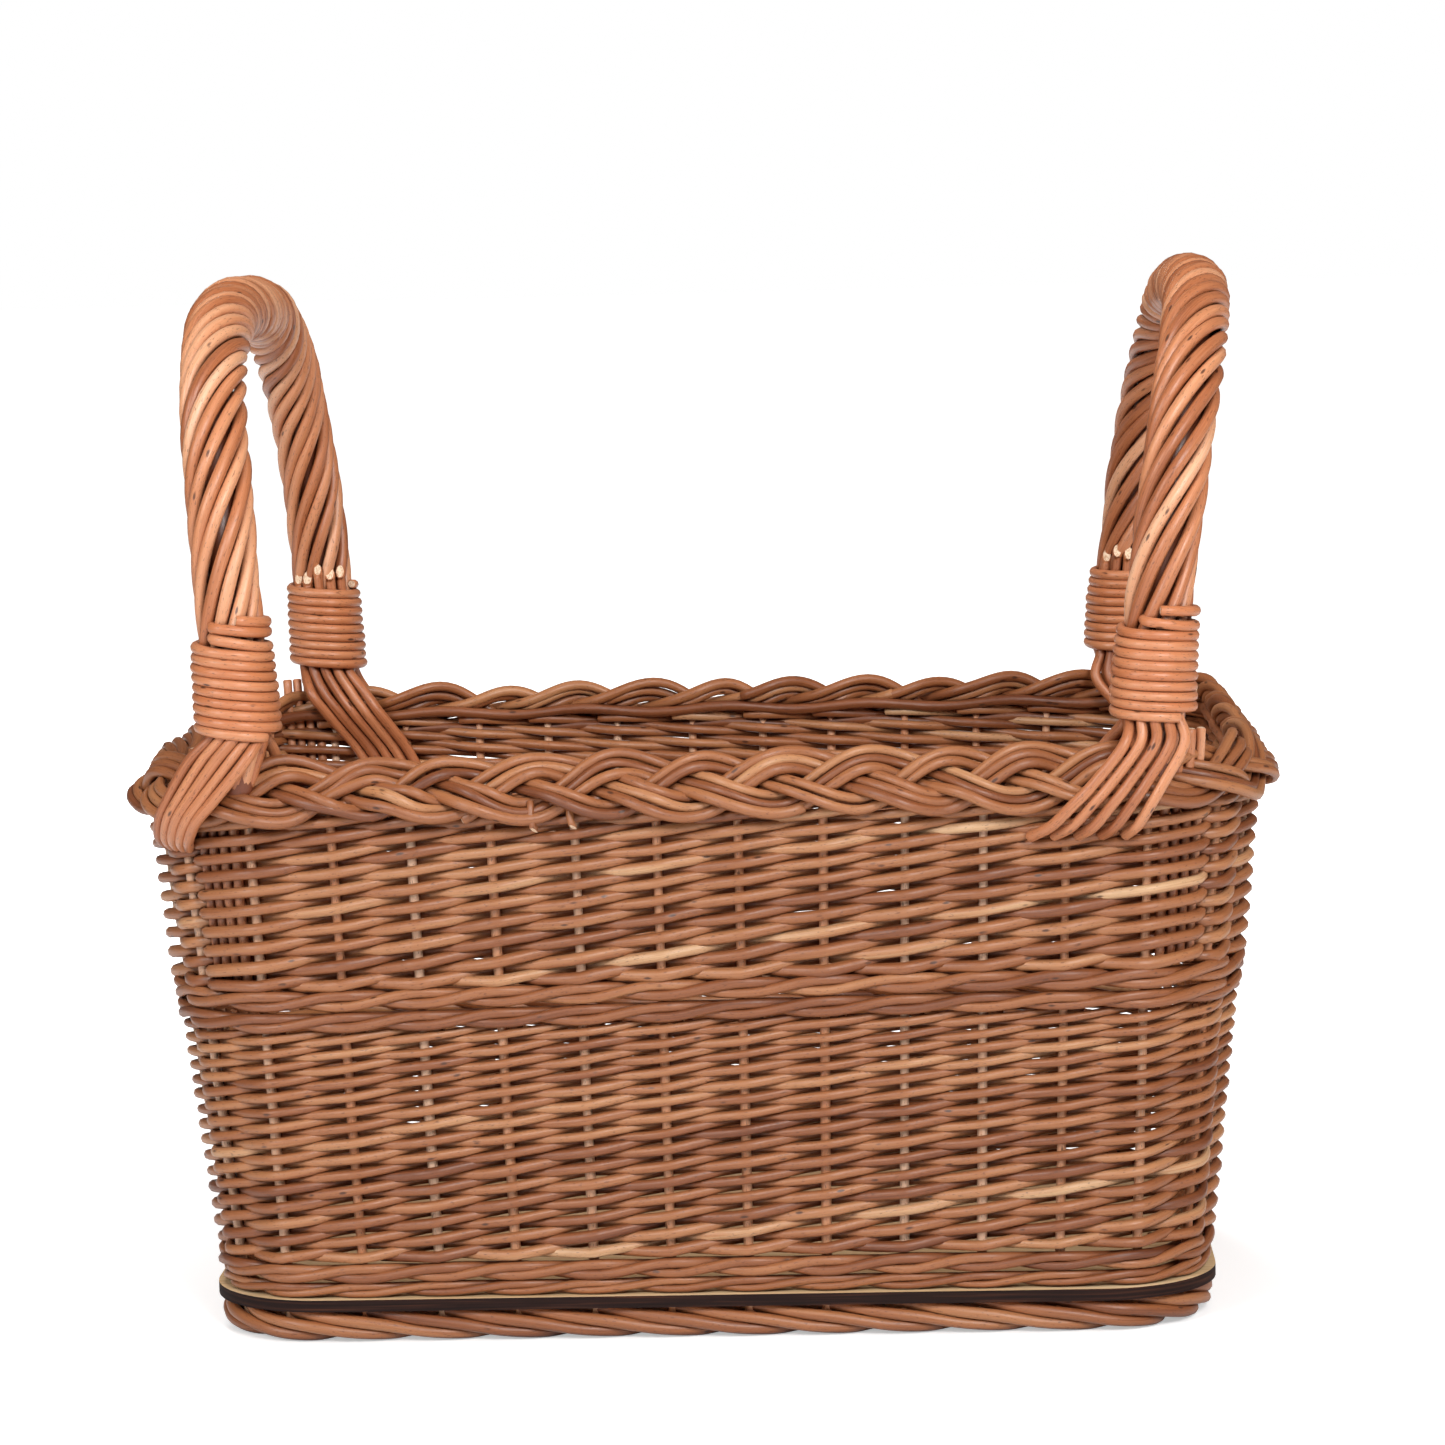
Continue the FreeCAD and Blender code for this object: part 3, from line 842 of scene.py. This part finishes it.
def twist_angles(length):
    """How far the rods have turned along a handle: loose at the feet and tight at the crown."""
    share = np.linspace(0, 1, HANDLE_STEPS)
    nearness_to_crown = np.sin(math.pi * share) ** 1.8
    tightening = 1 / TWIST_PITCH_CROWN - 1 / TWIST_PITCH_FOOT
    pitch = 1 / (1 / TWIST_PITCH_FOOT + tightening * nearness_to_crown)
    step = length / (HANDLE_STEPS - 1)
    return np.concatenate([[0], np.cumsum(2 * math.pi * step / pitch[1:])])


def build_handle(name, side):
    """Core in the darkest tone, as painted shade in the gaps between the rods, with long rods twisted round
    it, a little unevenly spaced towards the feet.
    """
    path, length = arch(side)
    outward, third = arch_frames(path, side)
    core = Rods(sides=12)
    core.add(path, CORE_RADIUS * CORE_THINNING, tone=CORE_TONE)
    core.build(name + "_handle_core_rod", "handle_willow", handle_willow, name + "_handle_core")
    rods = Rods(sides=10)
    turned = twist_angles(length)
    crown_share = np.sin(math.pi * np.linspace(0, 1, HANDLE_STEPS))
    for number in range(HANDLE_RODS):
        unevenness = waver(HANDLE_STEPS, length, 0.09, 0.30) * (1 - 0.6 * crown_share)
        angle = 2 * math.pi * number / HANDLE_RODS + turned + unevenness
        orbit = HANDLE_ORBIT_FOOT + (HANDLE_ORBIT_CROWN - HANDLE_ORBIT_FOOT) * crown_share
        sunk = np.clip((HANDLE_FOOT_Z - path[:, 2]) / HANDLE_SINK, 0, 1)
        orbit = orbit * (1 - (1 - SUNK_ORBIT) * sunk) + waver(HANDLE_STEPS, length, 0.0003, 0.12)
        around = np.cos(angle)[:, None] * outward + np.sin(angle)[:, None] * third
        taper = np.linspace(1.04, 0.94, HANDLE_STEPS)
        if number % 2:
            taper = taper[::-1]
        rods.add(path + around * orbit[:, None], HANDLE_ROD_RADIUS * taper * rng.uniform(0.95, 1.04))
    rods.build(name + "_handle_twist_rods", "handle_willow", handle_willow, name + "_handle_rods")


def leg_at(side, face, z):
    """Centres of a handle leg at heights z."""
    path, _ = arch(side)
    half = path[: HANDLE_STEPS // 2] if face == FRONT else path[::-1][: HANDLE_STEPS // 2]
    return np.column_stack([np.interp(z, half[:, 2], half[:, axis]) for axis in range(3)])


WRAP_HALF_LENGTH = 0.0190
WRAP_HALF_DEPTH_INSIDE = 0.0212
WRAP_HALF_DEPTH_OUTSIDE = 0.0196
WRAP_SQUARENESS = 2.3
WRAP_NARROWING = 0.07
LOOSE_TURNS = {"front_left": 2, "front_right": 1, "back_left": 0, "back_right": 0}
LOOSE_GAP = 0.0022
LOOSE_TUCK = 0.6
# Slope of the turns, rising with X.
WRAP_TILT = {"front_left": -0.09, "front_right": -0.03, "back_left": -0.05, "back_right": 0.02}


def build_wrap(corner, side, face):
    """One rod wound tightly round a handle's foot; at the front its last turns tuck in between the rods."""
    steps_per_turn = 32
    turn = np.arange(0, WRAP_TURNS + LOOSE_TURNS[corner] + 0.1, 1 / steps_per_turn)
    angle = -face * 2 * math.pi * turn + rng.uniform(0, 1)
    loose = np.clip((turn - WRAP_TURNS) * 4, 0, 1)
    z = WRAP_BOTTOM + WRAP_ROD_RADIUS + WRAP_PITCH * turn + LOOSE_GAP * loose
    power = 2 / WRAP_SQUARENESS
    along = np.sign(np.cos(angle)) * np.abs(np.cos(angle)) ** power
    outward = np.sign(np.sin(angle)) * np.abs(np.sin(angle)) ** power
    depth = np.where(outward > 0, WRAP_HALF_DEPTH_OUTSIDE, WRAP_HALF_DEPTH_INSIDE)
    narrowing = 1 - WRAP_NARROWING * np.clip(turn / WRAP_TURNS, 0, 1) ** 2
    narrowing = narrowing + waver(len(turn), turn[-1], 0.008, 1.37)
    tucked = 1 - LOOSE_TUCK * loose * np.clip(-2.5 * np.cos(angle) - 0.8, 0, 1)
    centre = leg_at(side, face, z)
    path = centre.copy()
    path[:, 0] += along * WRAP_HALF_LENGTH * narrowing * tucked
    path[:, 1] += face * outward * depth * narrowing * tucked
    path[:, 2] += WRAP_TILT[corner] * (path[:, 0] - centre[:, 0])
    rods = Rods(sides=10)
    rods.add(path, WRAP_ROD_RADIUS, tone=WRAP_TONE)
    rods.build(corner + "_wrap_rod", "binding_willow", wrap_willow, corner + "_wrap")


FAN_RODS = 5
FAN_SPACING = 0.0075
FAN_RADIUS = 0.0029
# Under the wrap the rods stand on an oval ring round the leg, this many radians apart.
FAN_RING_LENGTH = 0.0165
FAN_RING_DEPTH = 0.0166
FAN_RING_STEP = 0.40
# How much wider than FAN_SPACING the rods lie at their lower ends.
FAN_SPREAD = {"front_left": 0.65, "front_right": 1.55, "back_left": 0.9, "back_right": 1.0}
# Way down each face of the rim as (outward, height above the rim's bottom, distance swept sideways).
FAN_OUTSIDE = [
    (0.0178, 0.0375, 0.005),
    (0.0207, 0.0190, 0.019),
    (0.0207, 0.0080, 0.028),
    (0.0155, -0.0025, 0.035),
    (0.0055, -0.0085, 0.040),
]
FAN_INSIDE = [
    (-0.0180, 0.0355, 0.003),
    (-0.0185, 0.0240, 0.011),
    (-0.0140, 0.0130, 0.020),
    (-0.0095, 0.0030, 0.028),
    (-0.0065, -0.0100, 0.036),
]


def build_fan(corner, side, face):
    """Rods that run down under the wrap, slant over both faces of the rim and tuck in under it."""
    rods = Rods(sides=10, shade=0.7)
    hidden_top = WRAP_BOTTOM + 0.012
    for way, sign in ((FAN_OUTSIDE, 1), (FAN_INSIDE, -1)):
        for member in range(FAN_RODS):
            middle = member - (FAN_RODS - 1) / 2
            angle = middle * FAN_RING_STEP
            top = hidden_top if sign > 0 else WRAP_TOP + rng.uniform(0.006, 0.013)
            heights = np.linspace(top, WRAP_BOTTOM + 0.001, 4)
            centre = leg_at(side, face, heights)
            ring_x = -face * math.sin(angle) * FAN_RING_LENGTH
            ring_y = face * sign * math.cos(angle) * FAN_RING_DEPTH
            points = list(centre + (ring_x, ring_y, 0))
            for number, (outward, up, swept) in enumerate(way):
                spread = 1 + (FAN_SPREAD[corner] - 1) * number / (len(way) - 1)
                distance = middle * FAN_SPACING * spread - swept
                height = np.array([RIM_Z + up])
                points.append(beside_leg(side, face, distance, outward, height)[0])
            path = smooth_path(points, 64)
            size = FAN_RADIUS * rng.uniform(0.93, 1.05)
            rods.add(path, size, slant_start=1.5, slant_way=(0, sign * face, 0))
    rods.build(corner + "_fan_rods", "handle_willow", handle_willow, corner + "_fan")


CORE_ENDS = 4
CORE_END_RADIUS = 0.0026
# Places in the gap, in shares of it counted from the stake they stand beside.
CORE_END_START = 0.20
CORE_END_STEP = 0.15


def build_core_ends(corner):
    """Ends of the handle's core, pushed down into the wall beside a stake."""
    low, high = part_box(corner + "_core_ends")
    gap, near_start = HANDLE_GAPS[corner]
    rods = Rods()
    steps = 30
    for number in range(CORE_ENDS):
        share = CORE_END_START + CORE_END_STEP * number
        q = gap + (share if near_start else 1 - share)
        z = np.linspace(low.z - rng.uniform(0, 0.006), high.z, steps)
        path = wall_point(q, z, waver(steps, 0.11, 0.0003, 0.07))
        rods.add(path, CORE_END_RADIUS, tone=rng.uniform(0.2, 0.7))
    rods.build(corner + "_core_end_rods", "handle_willow", handle_willow, corner + "_core_ends")


def build_handles():
    build_handle("left", LEFT)
    build_handle("right", RIGHT)
    for corner, (side, face) in CORNERS.items():
        build_wrap(corner, side, face)
        build_fan(corner, side, face)
        build_core_ends(corner)


# ---------------------------------------------------------------- stage

def build_floor():
    """Pale studio floor that brightens away from the basket until it meets the background."""
    half = 30.0
    corners = [(-half, -half, 0), (half, -half, 0), (half, half, 0), (-half, half, 0)]
    mesh = bpy.data.meshes.new("floor")
    mesh.from_pydata(corners, [], [(0, 1, 2, 3)])
    shader = Shader("pale_floor")
    place = shader.node("ShaderNodeTexCoord").outputs["Object"]
    greys = [(0.3, (0.82, 0.82, 0.82, 1)), (0.7, (0.86, 0.86, 0.86, 1))]
    pale = shader.ramp(shader.noise(place, scale=3.0), greys)
    distance = shader.node("ShaderNodeVectorMath", {0: place}, operation="LENGTH").outputs["Value"]
    glow = shader.math("ADD", 0.45, shader.math("MULTIPLY", shader.step(distance, 0.45, 1.3), 0.60))
    seen = shader.node("ShaderNodeLightPath").outputs["Is Camera Ray"]
    shader.set(Base_Color=pale, Roughness=0.9, Emission_Color=(1, 1, 1, 1), Specular_IOR_Level=0.1)
    shader.set(Emission_Strength=shader.math("MULTIPLY", glow, seen))
    mesh.materials.append(shader.material)
    floor = bpy.data.objects.new("floor", mesh)
    bpy.context.scene.collection.objects.link(floor)


def add_area_light(name, place, target, size, power, shines=True):
    """A round soft light; one that doesn't shine leaves no highlights."""
    light = bpy.data.lights.new(name, "AREA")
    light.shape = "DISK"
    light.size = size
    light.energy = power
    lamp = bpy.data.objects.new(name, light)
    lamp.location = place
    lamp.rotation_euler = (Vector(target) - Vector(place)).to_track_quat("-Z", "Y").to_euler()
    lamp.visible_glossy = shines
    bpy.context.scene.collection.objects.link(lamp)


# Brightness of the white surroundings as the basket sees them; the camera sees them at full white.
AMBIENT = 0.11


def build_lights():
    """White studio: large soft lights in front on both sides, and dull ones from the side, top and back."""
    middle = (0, 0, 0.25)
    add_area_light("key", (0.9, -2.6, 1.8), middle, 1.0, 60)
    add_area_light("fill", (-1.7, -2.3, 1.5), middle, 1.1, 42)
    add_area_light("side", (2.6, -0.5, 1.4), middle, 1.0, 24, shines=False)
    add_area_light("top", (0.0, -0.4, 2.8), middle, 1.4, 26, shines=False)
    add_area_light("back", (-0.9, 2.6, 1.6), middle, 1.2, 56, shines=False)

    world = bpy.data.worlds.new("studio")
    world.use_nodes = True
    background = world.node_tree.nodes["Background"]
    background.inputs["Color"].default_value = (1, 1, 1, 1)
    rays = world.node_tree.nodes.new("ShaderNodeLightPath")
    strength = world.node_tree.nodes.new("ShaderNodeMapRange")
    strength.inputs["To Min"].default_value = AMBIENT
    strength.inputs["To Max"].default_value = 1.0
    world.node_tree.links.new(rays.outputs["Is Camera Ray"], strength.inputs["Value"])
    world.node_tree.links.new(strength.outputs["Result"], background.inputs["Strength"])
    bpy.context.scene.world = world
    bpy.context.scene.view_settings.view_transform = "Standard"


def build_camera():
    """Camera a little above the handles, turned and tipped slightly as the basket is seen."""
    place = Vector((0.115, -2.488, 0.561))
    yaw, pitch, roll = -0.0437, -0.1072, -0.0251
    forward = Vector((math.sin(yaw) * math.cos(pitch), math.cos(yaw) * math.cos(pitch), math.sin(pitch)))
    level = Vector((math.cos(yaw), -math.sin(yaw), 0))
    right = level * math.cos(roll) + level.cross(forward) * math.sin(roll)
    up = right.cross(forward)
    lens = bpy.data.cameras.new("camera")
    lens.lens = 118.5
    lens.sensor_width = 36
    camera = bpy.data.objects.new("camera", lens)
    camera.matrix_world = Matrix.Translation(place) @ Matrix((right, up, -forward)).transposed().to_4x4()
    bpy.context.scene.collection.objects.link(camera)
    bpy.context.scene.camera = camera


build_stakes()
build_walls()
build_foot_border()
build_rim()
build_handles()
colour_board()
build_floor()
build_lights()
build_camera()
